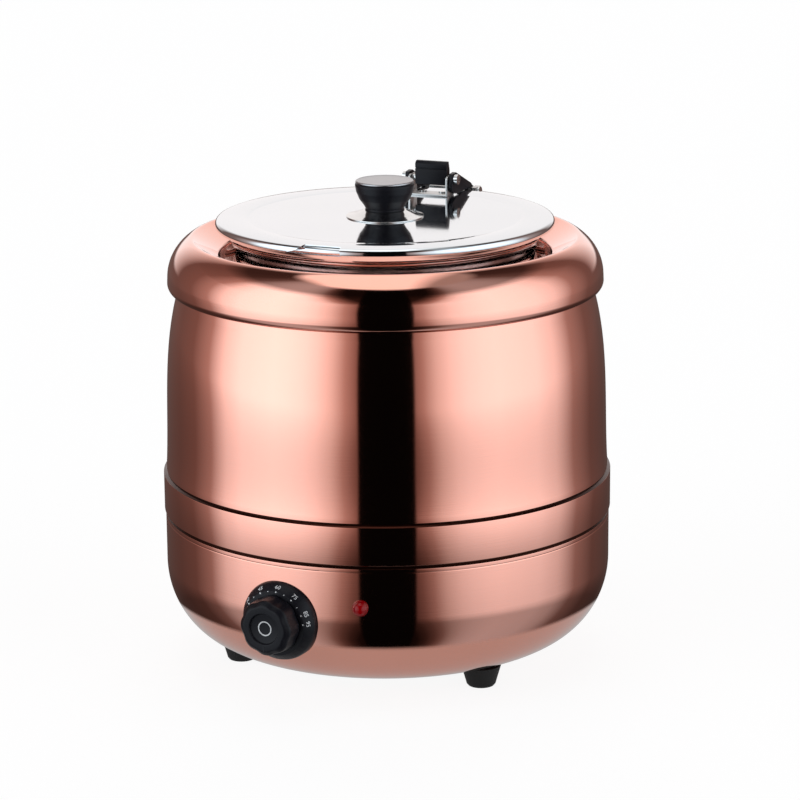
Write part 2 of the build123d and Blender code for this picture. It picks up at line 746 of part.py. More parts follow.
def lid_bracket():
    low = LID_FLAT_Z + GAP
    strap = block((-EAR_OUT, EAR_OUT), (86, 100), (low, low + 1.4))
    for side in (-1, 1):
        x = sorted((side * EAR_IN, side * EAR_OUT))
        ear = block(x, (86, 100), (low, FLAP_Z + 3))
        crown = [e for e in ear.edges().filter_by(Axis.X) if e.center().Z > FLAP_Z]
        strap += fillet(crown, 3)
    strap -= rod(PIN_R + FIT, (-30, FLAP_Y, FLAP_Z), (30, FLAP_Y, FLAP_Z))
    for x, y in RIVET_AT:
        strap -= move(Cylinder(1.6, 20), x, y, LID_FLAT_Z)
    return on_lid(strap)


def bracket_rivets():
    rivets = []
    for x, y in RIVET_AT:
        top = LID_FLAT_Z + 1.5 + GAP
        low = LID_FLAT_Z - THIN - GAP
        one = tube(1.55, 0, low - 0.5, top + 0.3) + tube(2.8, 0, top, top + 1) + tube(2.8, 0, low - 1, low)
        rivets.append(on_lid(move(one, x, y)))
    return rivets


def hinge_arms():
    arms = []
    for side in (-1, 1):
        outline = Polyline(
            (FLAP_Y - 6, 345), (FLAP_Y - 4, 355), (FLAP_Y + 3, 355.6), (HINGE_Y - 2, 342),
            (HINGE_Y + 3.5, HINGE_Z + 3), (HINGE_Y - 5, HINGE_Z - 0.5), (HINGE_Y - 9, ARM_LOW_Z),
            (FLAP_Y + 3, ARM_LOW_Z), (FLAP_Y - 4, 341.5), close=True,
        )
        plane = Plane(origin=(side * ARM_IN, 0, 0), x_dir=(0, 1, 0), z_dir=(1, 0, 0))
        arm = extrude(plane * make_face(outline), side * (ARM_OUT - ARM_IN))
        arm += rod(5, (side * ARM_IN, HINGE_Y, HINGE_Z), (side * ARM_OUT, HINGE_Y, HINGE_Z))
        for y, z in ((HINGE_Y, HINGE_Z), (FLAP_Y, FLAP_Z)):
            arm -= rod(PIN_R + FIT, (-30, y, z), (30, y, z))
        arms.append(on_lid(arm))
    return arms


def thumb_flap():
    back = FLAP_Y + 3.4
    profile = Polyline(
        (FLAP_Y - 3.4, FLAP_LOW_Z), (FLAP_Y - 3.4, FLAP_TOP_Z - 2), (FLAP_Y - 1.4, FLAP_TOP_Z),
        (FLAP_Y + 1.6, FLAP_TOP_Z), (back, FLAP_TOP_Z - 6), (back, FLAP_LOW_Z), close=True,
    )
    plane = Plane(origin=(FLAP_LEFT, 0, 0), x_dir=(0, 1, 0), z_dir=(1, 0, 0))
    flap = extrude(plane * make_face(profile), FLAP_RIGHT - FLAP_LEFT)
    groove = block((FLAP_LEFT - 1, FLAP_RIGHT + 1), (FLAP_Y - 5, FLAP_Y - 2.8), (357.8, 358.6))
    flap -= groove
    flap -= rod(PIN_R + FIT, (-30, FLAP_Y, FLAP_Z), (30, FLAP_Y, FLAP_Z))
    return on_lid(flap)


def bracket_pin():
    return on_lid(rod(PIN_R, (-22.5, FLAP_Y, FLAP_Z), (22.5, FLAP_Y, FLAP_Z)))


def pin_nuts():
    nuts = []
    for x in (-22.8, 19.8):
        ring = rod(3.9, (x, FLAP_Y, FLAP_Z), (x + 3, FLAP_Y, FLAP_Z))
        nuts.append(on_lid(ring - rod(PIN_R + FIT, (-40, FLAP_Y, FLAP_Z), (40, FLAP_Y, FLAP_Z))))
    return nuts


def lid_spring():
    """Wire stay on the left arm's outside, from the bracket pin's nut back towards the hinge pin."""
    x = -ARM_OUT - 1.6
    points = [
        (x, FLAP_Y + 5.5, FLAP_Z + 1), (x - 0.8, FLAP_Y + 14, 345.5), (x - 1.6, 119, 343),
        (x - 1.9, 122, 345), (x - 1.2, FLAP_Y + 17, 349), (x - 0.6, FLAP_Y + 9, 354),
    ]
    return on_lid(wire(points, 1))


PIECES = (
    body_shell, top_ring, ring_screws, ring_nuts, water_well, well_insulation, heater_plate, heating_element,
    element_clamp, heater_studs, heater_nuts, thermal_cutout, base_plate, base_screws, base_nuts, feet,
    foot_screws, foot_nuts, thermostat_body, thermostat_nut, thermostat_shaft, capillary, dial_bezel,
    bezel_screws, control_knob, knob_disc, terminal_block, terminal_screws, wiring_harness, cord_gland,
    gland_nut, power_cord, mains_plug, plug_pins, soup_pot, rim_clamp, clamp_screw, hinge_pin, pin_washers,
    lid_pan, lid_knob, knob_cap, knob_flange, knob_screw, knob_washer, lid_bracket, bracket_rivets,
    hinge_arms, thumb_flap, bracket_pin, pin_nuts, lid_spring,
)


def main():
    os.makedirs("parts", exist_ok=True)
    shapes = {piece.__name__: piece() for piece in PIECES}
    shapes["lamp_lens"], shapes["lamp_bulb"], shapes["lamp_nut"] = lamp_parts()
    for name, shape in shapes.items():
        if isinstance(shape, list):
            shape = Compound(children=shape)
        export_step(shape, f"parts/{name}.step")


main()
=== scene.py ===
"""Looks of the buffet soup kettle. Sizes are in millimetres until they become mesh points."""

from math import atan2, cos, degrees, hypot, pi, radians, sin, tan

import bmesh
import bpy
from mathutils import Matrix, Vector

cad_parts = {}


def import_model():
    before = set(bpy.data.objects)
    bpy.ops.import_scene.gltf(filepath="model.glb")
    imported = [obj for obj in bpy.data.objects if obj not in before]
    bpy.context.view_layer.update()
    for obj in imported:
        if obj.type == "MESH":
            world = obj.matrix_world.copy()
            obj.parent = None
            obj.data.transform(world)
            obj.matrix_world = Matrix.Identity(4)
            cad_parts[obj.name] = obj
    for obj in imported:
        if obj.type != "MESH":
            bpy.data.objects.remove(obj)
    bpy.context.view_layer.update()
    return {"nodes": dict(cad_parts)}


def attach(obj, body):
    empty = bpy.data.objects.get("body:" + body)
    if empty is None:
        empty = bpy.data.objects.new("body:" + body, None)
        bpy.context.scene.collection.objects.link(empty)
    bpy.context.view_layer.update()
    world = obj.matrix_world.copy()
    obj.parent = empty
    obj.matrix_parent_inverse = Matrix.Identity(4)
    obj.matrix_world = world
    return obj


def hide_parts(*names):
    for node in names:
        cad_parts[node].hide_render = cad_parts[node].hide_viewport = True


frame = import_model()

NODES = frame["nodes"]
MM = 0.001
SEGMENTS = 288
SHARP_ANGLE = 35

# Azimuths from the front (-Y) towards +X
VIEW_AZ = 17.5
LID_TURN = -5
CONTROL_AZ = -10
LAMP_AZ = 10.9
LAMP_Z = 84.6
LAMP_SEAT_R = 169.4

# Copper body and top ring
SHEET = 1.0
FLOOR_Z = 15.8
FLOOR_HOLE_R = 90
BOWL_R = 116.7
BOWL_A = 52.4
BOWL_B = 60.2
BOWL_TOP_Z = FLOOR_Z + BOWL_B
BAND_R = 170
BAND_LOW_Z = 116
BAND_HIGH_Z = 145.5
CREASE_Z = 110.6
LOW_GROOVE = (113.4, 116.4)
HIGH_GROOVE = (144.6, 146.9)
GROOVE_DEPTH = 1.6
BARREL = ((167.9, 147), (166.2, 200), (162.9, 251), (157.5, 279))
BARREL_TOP_R = 157
BARREL_TOP_Z = 284
FLANGE_R = 150
RING_FOOT_Z = 284.1
RING_R = 163.8
RING_LIP_R = 6
DOME_R = 129.7
DOME_Z = 294
DOME_A = 33.9
DOME_B = 33.75
DOME_END = 63.2
THROAT_R = 124.4
THROAT_Z = 310.9
THROAT_LOW_Z = 299
RING_EDGE_ROUND = 3.5

# Water well
THIN = 0.8
WELL_R = 115.5
WELL_FLOOR_Z = 70
WELL_TOP_Z = 298.9
WELL_FLANGE_R = 128
WELL_CORNER_R = 8

# Pot and lid
POT_R = 112.5
POT_FLOOR_Z = 82
POT_CORNER_R = 16
NECK_Z = 311
NECK_TOP_R = 118.3
LEDGE_R = 120
LEDGE_H = 3
BEAD_R = 119.8
BEAD_Z = 333.6
BEAD_TUBE_R = 3.1
LID_FLAT_Z = 337.4
LID_FLAT_R = 102
LID_CREST = (114, 338.2)
LID_EDGE_Z = 337.5
LID_ROUND = 3.6
SKIRT_R = 127
SKIRT_LOW_Z = 331.8
NOTCH_Y = -120
NOTCH = ((-30, 324), (18, 324), (18, 332), (17.2, 336), (14, 344), (-11, 344), (-12, 338), (-14, 336.2),
         (-18, 334.3), (-26, 331.8))
REAR_CUT_Y = 121.5
REAR_CUT_HALF = 28.5

# Lid knob
KNOB_TOP_Z = 365
GRIP_R = 22.2
GRIP_NECK_R = 14.4
CAP_T = 1.8
FLANGE_PLATE_R = 29
FLANGE_RISE = 5

# Control
CONTROL_Z = 70.1
FLANK_R = 24.2
FLANK_FALL = 5 / 4.5  # drop per millimetre of radius
DIAL_FACE = 177
CONTROL_R = 21.5
CONTROL_FRONT = 193
SCALLOPS = 8
SCALLOP_DEPTH = 1.0
RING_MARK = (4.6, 5.5)
DISH_R = 11
FIRST_MARK = -60
MARK_STEP = 16.1
MARK_COUNT = 10
DOT_PCR = 23.9
NUMBER_PCR = 26.6
NUMBER_SIZE = 4.4
LABELS = {0: "30", 2: "45", 4: "60", 6: "75", 8: "85", 9: "95"}

# Studio
TABLE_NEAR = 0.19  # metres
TABLE_FAR = 0.205
FLOOR_GLOW = 1.06
FLOOR_IN_METAL = 0.45
FLOOR_GLOW_SHARE = 0.85
BOX_AZ = 62
BACKDROP_LEVEL = 0.9
GAP_LEVEL = 0.0015
# Degrees from the gap's middle, then degrees with the boxes' level there
GAP_EDGE = (14.2, 14.9)
BOX_LEVELS = ((0, 0.02), (8, 0.10), (15, 0.26), (21, 0.50), (28, 0.95), (36, 1.30), (43, 1.48),
              (52, 1.62), (60, 1.68), (70, 1.62), (80, 1.52), (91, 1.2), (103, 0.45), (118, 0.2),
              (136, 0.15), (160, 0.15))
FULL_LEVEL = 0.95
CANOPY_LEVELS = (0.36, 1.3)
MIDDLE = (-0.05, 0.05)  # headings either side of the gap's middle, in radians
MIX_A = 6  # the Mix node's colour sockets have names that repeat
MIX_B = 7
MIX_RESULT = 2
SENSOR = 36
LENS_LENGTH = 139.4
CAMERA_ROLL = -0.46
EYE = (10.2, -2279.3, 778.8)
TARGET = (10.2, 0, 195.2)


# ---------------------------------------------------------------- mesh tools


def link(name, data):
    obj = bpy.data.objects.new(name, data)
    bpy.context.scene.collection.objects.link(obj)
    return obj


def finish_mesh(name, bm, sharp=SHARP_ANGLE):
    """Turns a bmesh in millimetres into a smooth object with edges over the angle kept sharp."""
    bmesh.ops.remove_doubles(bm, verts=bm.verts, dist=1e-5)
    bmesh.ops.recalc_face_normals(bm, faces=bm.faces)
    mesh = bpy.data.meshes.new(name)
    bm.to_mesh(mesh)
    bm.free()
    mesh.transform(Matrix.Scale(MM, 4))
    mesh.shade_smooth()
    mesh.set_sharp_from_angle(angle=radians(sharp))
    return link(name, mesh)


def arc(centre, a, b, start, end, steps=24):
    """Points of an ellipse arc in the half section, angles in degrees."""
    points = []
    for i in range(steps + 1):
        angle = radians(start + (end - start) * i / steps)
        points.append((centre[0] + a * cos(angle), centre[1] + b * sin(angle)))
    return points


def rounded(corners, steps=5):
    """A half section from (r, z, radius) corners, each turned into a small round."""
    points = []
    for i, (x, y, radius) in enumerate(corners):
        if not radius or i in (0, len(corners) - 1):
            points.append((x, y))
            continue
        here = Vector((x, y))
        back = (Vector(corners[i - 1][:2]) - here).normalized()
        ahead = (Vector(corners[i + 1][:2]) - here).normalized()
        half = back.angle(ahead) / 2
        reach = radius / tan(half)
        first = here + back * reach
        last = here + ahead * reach
        for k in range(steps + 1):
            t = k / steps
            points.append(tuple(first * (1 - t) ** 2 + here * 2 * t * (1 - t) + last * t ** 2))
    return points


def sheet(points, thickness):
    """Closes a line of section points into a sheet, with the new side on the line's left."""
    inner = []
    for i, point in enumerate(points):
        before = Vector(points[max(i - 1, 0)])
        after = Vector(points[min(i + 1, len(points) - 1)])
        along = (after - before).normalized()
        inner.append((point[0] - along.y * thickness, point[1] + along.x * thickness))
    return points + inner[::-1]


def lathe(name, section, segments=SEGMENTS, shape=None, place=None, sharp=SHARP_ANGLE):
    """A closed solid of revolution; shape(angle, r) may change the radius."""
    bm = bmesh.new()
    rings = []
    for r, z in section:
        if r < 1e-6:
            rings.append([bm.verts.new((0, 0, z))])
            continue
        ring = []
        for i in range(segments):
            angle = 2 * pi * i / segments
            radius = shape(angle, r) if shape else r
            ring.append(bm.verts.new((radius * cos(angle), radius * sin(angle), z)))
        rings.append(ring)
    for one, two in zip(rings, rings[1:] + rings[:1]):
        if len(one) == 1 and len(two) == 1:
            continue
        for i in range(segments):
            j = (i + 1) % segments
            loop = [one[i % len(one)], one[j % len(one)], two[j % len(two)], two[i % len(two)]]
            bm.faces.new(dict.fromkeys(loop))
    if place:
        bmesh.ops.transform(bm, matrix=place, verts=bm.verts)
    return finish_mesh(name, bm, sharp)


def on_azimuth(azimuth, radius=0, z=0):
    """A frame whose Z points outwards at the azimuth and whose Y points up, placed on that radius."""
    outward = Vector((sin(radians(azimuth)), -cos(radians(azimuth)), 0))
    right = Vector((cos(radians(azimuth)), sin(radians(azimuth)), 0))
    turn = Matrix((right, Vector((0, 0, 1)), outward)).transposed().to_4x4()
    return Matrix.Translation(outward * radius + Vector((0, 0, z))) @ turn


def apply_modifiers(obj):
    depsgraph = bpy.context.evaluated_depsgraph_get()
    mesh = bpy.data.meshes.new_from_object(obj.evaluated_get(depsgraph))
    obj.modifiers.clear()
    obj.data = mesh
    return obj


def cut(obj, cutters):
    """Subtracts the cutters and keeps the long surfaces' shading."""
    for cutter in cutters:
        modifier = obj.modifiers.new("cut", "BOOLEAN")
        modifier.operation = "DIFFERENCE"
        modifier.solver = "EXACT"
        modifier.object = cutter
    apply_modifiers(obj)
    for cutter in cutters:
        bpy.data.objects.remove(cutter)
    obj.data.shade_smooth()
    obj.data.set_sharp_from_angle(angle=radians(SHARP_ANGLE))
    return obj


def prism(outline, low, high, place=None):
    """A straight prism from an outline in XY between two heights."""
    bm = bmesh.new()
    bottom = [bm.verts.new((x, y, low)) for x, y in outline]
    top = [bm.verts.new((x, y, high)) for x, y in outline]
    bm.faces.new(bottom[::-1])
    bm.faces.new(top)
    for i in range(len(outline)):
        j = (i + 1) % len(outline)
        bm.faces.new((bottom[i], bottom[j], top[j], top[i]))
    if place:
        bmesh.ops.transform(bm, matrix=place, verts=bm.verts)
    return finish_mesh("prism", bm)


def rounded_copy(name, node, width, segments=3):
    """The CAD node's form with its edges rounded by width."""
    mesh = NODES[node].data.copy()
    obj = link(name, mesh)
    bm = bmesh.new()
    bm.from_mesh(mesh)
    bmesh.ops.remove_doubles(bm, verts=bm.verts, dist=2e-6)
    bmesh.ops.dissolve_limit(bm, angle_limit=radians(1), verts=bm.verts, edges=bm.edges)
    bm.to_mesh(mesh)
    bm.free()
    mesh.materials.clear()
    bevel = obj.modifiers.new("bevel", "BEVEL")
    bevel.width = width * MM
    bevel.segments = segments
    bevel.limit_method = "ANGLE"
    bevel.angle_limit = radians(SHARP_ANGLE)
    bevel.use_clamp_overlap = True
    apply_modifiers(obj)
    obj.data.shade_smooth()
    obj.data.set_sharp_from_angle(angle=radians(45))
    return obj


# ---------------------------------------------------------------- materials


def material(name):
    mat = bpy.data.materials.new(name)
    mat.use_nodes = True
    return mat, mat.node_tree.nodes, mat.node_tree.links, mat.node_tree.nodes["Principled BSDF"]


def node(nodes, kind, **values):
    made = nodes.new(kind)
    for key, value in values.items():
        if key in made.inputs:
            made.inputs[key].default_value = value
        else:
            setattr(made, key, value)
    return made


def stretched_noise(nodes, links, scale, stretch, detail=4):
    """Noise in object space, drawn out by the stretch along each axis."""
    where = node(nodes, "ShaderNodeTexCoord")
    mapping = node(nodes, "ShaderNodeMapping")
    mapping.inputs["Scale"].default_value = stretch
    noise = node(nodes, "ShaderNodeTexNoise", Scale=scale, Detail=detail)
    links.new(where.outputs["Object"], mapping.inputs["Vector"])
    links.new(mapping.outputs["Vector"], noise.inputs["Vector"])
    return noise


def ramp(nodes, links, source, low, high, start=0.3, end=0.7):
    """Maps a value between two colours."""
    colours = node(nodes, "ShaderNodeValToRGB")
    colours.color_ramp.elements[0].position = start
    colours.color_ramp.elements[1].position = end
    colours.color_ramp.elements[0].color = (*low, 1)
    colours.color_ramp.elements[1].color = (*high, 1)
    links.new(source, colours.inputs["Fac"])
    return colours.outputs["Color"]


def metal(name, colour, dark, roughness, stretch, scale, bump, rough_span=0.03, coat=0.0):
    """Polished metal with fine polishing lines, slight colour drift and uneven gloss."""
    mat, nodes, links, shader = material(name)
    shader.inputs["Metallic"].default_value = 1
    shader.inputs["Coat Weight"].default_value = coat
    shader.inputs["Coat Roughness"].default_value = roughness
    lines = stretched_noise(nodes, links, scale, stretch, 3)
    cloud = stretched_noise(nodes, links, 9, (1, 1, 1), 2)
    links.new(ramp(nodes, links, cloud.outputs["Fac"], dark, colour), shader.inputs["Base Color"])
    spread = node(nodes, "ShaderNodeMapRange")
    spread.inputs["To Min"].default_value = roughness
    spread.inputs["To Max"].default_value = roughness + rough_span
    links.new(lines.outputs["Fac"], spread.inputs["Value"])
    links.new(spread.outputs["Result"], shader.inputs["Roughness"])
    bumps = node(nodes, "ShaderNodeBump", Strength=bump, Distance=0.0002)
    links.new(lines.outputs["Fac"], bumps.inputs["Height"])
    links.new(bumps.outputs["Normal"], shader.inputs["Normal"])
    return mat


def moulded(name, colour, lighter, roughness, grain, bump, coat=0.0, specular=0.5):
    """Moulded plastic or rubber with a fine grain."""
    mat, nodes, links, shader = material(name)
    noise = stretched_noise(nodes, links, grain, (1, 1, 1), 5)
    broad = stretched_noise(nodes, links, 30, (1, 1, 1), 2)
    links.new(ramp(nodes, links, broad.outputs["Fac"], colour, lighter), shader.inputs["Base Color"])
    spread = node(nodes, "ShaderNodeMapRange")
    spread.inputs["To Min"].default_value = roughness - 0.05
    spread.inputs["To Max"].default_value = roughness + 0.08
    links.new(noise.outputs["Fac"], spread.inputs["Value"])
    links.new(spread.outputs["Result"], shader.inputs["Roughness"])
    shader.inputs["Specular IOR Level"].default_value = specular
    shader.inputs["Coat Weight"].default_value = coat
    shader.inputs["Coat Roughness"].default_value = 0.15
    bumps = node(nodes, "ShaderNodeBump", Strength=bump, Distance=0.0003)
    links.new(noise.outputs["Fac"], bumps.inputs["Height"])
    links.new(bumps.outputs["Normal"], shader.inputs["Normal"])
    return mat


def lens_material():
    mat, nodes, links, shader = material("red_lens")
    facing = node(nodes, "ShaderNodeLayerWeight", Blend=0.4)
    deep, rim = (0.20, 0.001, 0.002), (0.02, 0.0, 0.001)
    tint = ramp(nodes, links, facing.outputs["Facing"], deep, rim, 0.1, 0.8)
    links.new(tint, shader.inputs["Base Color"])
    shader.inputs["Roughness"].default_value = 0.12
    shader.inputs["Specular IOR Level"].default_value = 0.25
    shader.inputs["Emission Color"].default_value = (0.6, 0.003, 0.01, 1)
    shader.inputs["Emission Strength"].default_value = 0.1
    return mat


COPPER = metal("copper", (0.95, 0.43, 0.325), (0.92, 0.41, 0.305), 0.045, (1, 1, 60), 30, 0.06, 0.03, 1.0)
# Painted shade: a near-black copper for the faces inside the body's two grooves, standing in for the shade in
# their hollows
GROOVE_SHADE = metal("groove_painted_shade", (0.06, 0.02, 0.013), (0.05, 0.016, 0.01), 0.3, (1, 1, 60), 30, 0.1)
STEEL = metal("polished_steel", (0.80, 0.835, 0.86), (0.77, 0.805, 0.83), 0.05, (1, 1, 1), 250, 0.02)
DULL_STEEL = metal("satin_steel", (0.62, 0.61, 0.60), (0.52, 0.52, 0.51), 0.25, (40, 1, 1), 60, 0.15, 0.12)
BRIGHT = metal("nickel", (0.80, 0.80, 0.79), (0.70, 0.70, 0.69), 0.09, (1, 1, 1), 200, 0.05, 0.08)
GREY_CAP = metal("satin_cap", (0.46, 0.46, 0.47), (0.38, 0.38, 0.39), 0.28, (1, 1, 1), 300, 0.1, 0.1)
ZINC = metal("zinc", (0.55, 0.56, 0.58), (0.45, 0.46, 0.48), 0.3, (1, 1, 1), 120, 0.1, 0.15)
CAST = metal("cast_aluminium", (0.68, 0.68, 0.69), (0.58, 0.58, 0.59), 0.42, (1, 1, 1), 90, 0.4, 0.15)
BLACK = moulded("black_plastic", (0.006, 0.006, 0.009), (0.010, 0.010, 0.014), 0.34, 1600, 0.12, 0.0, 0.18)
GLOSS_BLACK = moulded("gloss_black", (0.006, 0.006, 0.009), (0.010, 0.010, 0.013), 0.24, 900, 0.05, 0.0, 0.25)
RUBBER = moulded("rubber", (0.009, 0.009, 0.009), (0.016, 0.016, 0.016), 0.6, 1200, 0.3, 0.0, 0.3)
CORD = moulded("cord_sleeve", (0.014, 0.014, 0.014), (0.024, 0.024, 0.025), 0.45, 700, 0.15)
PALE = moulded("pale_plastic", (0.62, 0.59, 0.52), (0.70, 0.67, 0.60), 0.4, 900, 0.1)
WOOL = moulded("mineral_wool", (0.42, 0.37, 0.24), (0.66, 0.60, 0.44), 0.9, 350, 1.0)
LEADS = moulded("lead_sleeve", (0.30, 0.10, 0.05), (0.5, 0.35, 0.2), 0.5, 400, 0.2)
MARKS = moulded("white_print", (0.72, 0.72, 0.72), (0.8, 0.8, 0.8), 0.4, 900, 0.05)
LENS = lens_material()
GLASS = moulded("neon_glass", (0.5, 0.25, 0.15), (0.6, 0.35, 0.25), 0.1, 200, 0.05, 1.0)


def paint(obj, mat):
    obj.data.materials.clear()
    obj.data.materials.append(mat)


def install(obj, body_name, replaced=None):
    """Gives a piece its body, and hides the CAD node whose place it takes."""
    if replaced:
        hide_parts(replaced)
    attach(obj, body_name)


# ---------------------------------------------------------------- copper body


def barrel_r(z):
    """The barrel's radius at a height, a cubic through its four stations."""
    total = 0
    for r, height in BARREL:
        share = r
        for _, other in BARREL:
            if other != height:
                share *= (z - other) / (height - other)
        total += share
    return total


def body_line():
    """The body's outer line from the floor hole to the top flange, with a groove at each band edge."""
    bowl = arc((BOWL_R, BOWL_TOP_Z), BOWL_A, BOWL_B, -90, 0, 48)
    wall = BOWL_R + BOWL_A
    band = rounded([
        (wall, BOWL_TOP_Z + 1, 0),
        (wall, CREASE_Z - 0.5, 0.3),
        (wall - 0.25, CREASE_Z, 0.3),
        (wall, CREASE_Z + 0.5, 0.3),
        (wall, LOW_GROOVE[0], 0.4),
        (wall - GROOVE_DEPTH, BAND_LOW_Z - 0.9, 0.3),
        (BAND_R, LOW_GROOVE[1], 0.4),
        (BAND_R, HIGH_GROOVE[0], 0.5),
        (BARREL[0][0] - 0.6, BAND_HIGH_Z + 0.3, 0.3),
        (barrel_r(HIGH_GROOVE[1]), HIGH_GROOVE[1], 0.4),
        (barrel_r(151), 151, 0),
    ])
    barrel = [(barrel_r(z), z) for z in (153 + (278 - 153) * i / 40 for i in range(41))]
    top = rounded([
        (barrel_r(278.5), 278.5, 0),
        (BARREL_TOP_R, BARREL_TOP_Z, 0.6),
        (FLANGE_R, BARREL_TOP_Z, 0),
    ])
    return [(FLOOR_HOLE_R, FLOOR_Z)] + bowl + band + barrel + top


def paint_groove_shade(obj):
    """Gives the faces inside the two grooves a near-black copper, painted shade standing in for the shade in
    the grooves' hollows.
    """
    obj.data.materials.append(GROOVE_SHADE)
    for face in obj.data.polygons:
        height = face.center.z / MM
        if any(low < height < high for low, high in (LOW_GROOVE, HIGH_GROOVE)):
            face.material_index = 1


def body():
    skin = lathe("body_skin", sheet(body_line(), SHEET))
    paint(skin, COPPER)
    paint_groove_shade(skin)
    install(skin, "housing", "body_shell")


def ring_line():
    """The top ring's outer line from its foot to the throat's lower edge."""
    lip = arc((RING_R - RING_LIP_R, RING_FOOT_Z + RING_LIP_R), RING_LIP_R, RING_LIP_R, -90, 0, 14)
    dome = arc((DOME_R, DOME_Z), DOME_A, DOME_B, 2, DOME_END - 5, 48)
    end = radians(DOME_END)
    crest = (DOME_R + DOME_A * cos(end), DOME_Z + DOME_B * sin(end))
    mouth = rounded([
        (*dome[-1], 0),
        (*crest, RING_EDGE_ROUND),
        (THROAT_R, THROAT_Z, RING_EDGE_ROUND),
        (THROAT_R, THROAT_LOW_Z, 0),
    ], 10)
    return [(FLANGE_R, RING_FOOT_Z)] + lip + dome + mouth[1:]


def ring():
    skin = lathe("ring_skin", sheet(ring_line(), SHEET))
    paint(skin, COPPER)
    install(skin, "housing", "top_ring")


def well():
    outer_r = WELL_R + THIN
    under_z = WELL_FLOOR_Z - THIN
    flange_z = WELL_TOP_Z - THIN
    wall = rounded([
        (outer_r, under_z, WELL_CORNER_R),
        (outer_r, flange_z, 0),
        (WELL_FLANGE_R, flange_z, 0),
        (WELL_FLANGE_R, WELL_TOP_Z, 0),
        (WELL_R, WELL_TOP_Z, 0),
        (WELL_R, WELL_FLOOR_Z, WELL_CORNER_R - THIN),
    ], 8)
    skin = lathe("well_skin", [(0, under_z)] + wall + [(0, WELL_FLOOR_Z)])
    paint(skin, STEEL)
    install(skin, "housing", "water_well")


# ---------------------------------------------------------------- pot and lid


def pot():
    corner = (POT_R - POT_CORNER_R, POT_FLOOR_Z + POT_CORNER_R)
    bottom = arc(corner, POT_CORNER_R, POT_CORNER_R, -90, 0, 16)
    ledge_top = THROAT_LOW_Z + LEDGE_H
    wall = rounded([
        (POT_R, POT_FLOOR_Z + POT_CORNER_R + 1, 0),
        (POT_R, THROAT_LOW_Z, 0.5),
        (LEDGE_R, THROAT_LOW_Z, 0.8),
        (LEDGE_R, ledge_top, 0.8),
        (POT_R, ledge_top, 0.5),
        (POT_R, NECK_Z, 0),
    ])
    rise = BEAD_Z - 3 - NECK_Z
    neck = []
    for i in range(1, 15):
        t = i / 14
        neck.append((POT_R + (NECK_TOP_R - POT_R) * (3 * t * t - 2 * t ** 3), NECK_Z + rise * t))
    bead = arc((BEAD_R, BEAD_Z), BEAD_TUBE_R, BEAD_TUBE_R, -105, 170, 24)
    outer = [(0, POT_FLOOR_Z)] + bottom + wall + neck
    inner_r = POT_CORNER_R - SHEET
    inner = [(r - SHEET, z) for r, z in neck[::-1]] + [(POT_R - SHEET, NECK_Z - 1)]
    inner += arc(corner, inner_r, inner_r, 0, -90, 16)
    skin = lathe("pot_skin", outer + bead + inner + [(0, POT_FLOOR_Z + SHEET)])
    paint(skin, STEEL)
    install(skin, "pot", "soup_pot")


def lid_line():
    """The lid's upper line from its middle to the skirt's edge."""
    x1, y1 = LID_FLAT_R, LID_FLAT_Z
    x2, y2 = LID_CREST
    x3, y3 = SKIRT_R - LID_ROUND, LID_EDGE_Z
    # The swell is the circle through the flat's edge, the crest and the start of the rounded edge
    d = 2 * (x1 * (y2 - y3) + x2 * (y3 - y1) + x3 * (y1 - y2))
    s1, s2, s3 = x1 * x1 + y1 * y1, x2 * x2 + y2 * y2, x3 * x3 + y3 * y3
    cx = (s1 * (y2 - y3) + s2 * (y3 - y1) + s3 * (y1 - y2)) / d
    cy = (s1 * (x3 - x2) + s2 * (x1 - x3) + s3 * (x2 - x1)) / d
    radius = hypot(x1 - cx, y1 - cy)
    start = degrees(atan2(y1 - cy, x1 - cx))
    end = degrees(atan2(y3 - cy, x3 - cx))
    swell = arc((cx, cy), radius, radius, start - 1, end + 1, 22)
    flat = [(0, LID_FLAT_Z), (60, LID_FLAT_Z), (95, LID_FLAT_Z)]
    step = rounded([(100, LID_FLAT_Z, 0), (x1, y1, 1.5), (*swell[0], 0)])
    edge = arc((x3, LID_EDGE_Z - LID_ROUND), LID_ROUND, LID_ROUND, 82, 0, 12)
    edge += [(SKIRT_R, SKIRT_LOW_Z + 0.5), (SKIRT_R - 0.2, SKIRT_LOW_Z)]
    return flat + step[:-1] + swell + edge


def lid():
    line = lid_line()
    pan = lathe("lid_skin", sheet(line[::-1], THIN)[::-1])
    turn = Matrix.Rotation(radians(LID_TURN), 4, "Z")
    to_front = Matrix.Translation((0, NOTCH_Y, 0)) @ Matrix.Rotation(radians(90), 4, "X")
    notch = prism(NOTCH, 0, 20, turn @ to_front)
    half = REAR_CUT_HALF
    rear = prism([(-half, REAR_CUT_Y), (half, REAR_CUT_Y), (half, 140), (-half, 140)], 320, 350, turn)
    cut(pan, [notch, rear])
    paint(pan, STEEL)
    install(pan, "lid", "lid_pan")


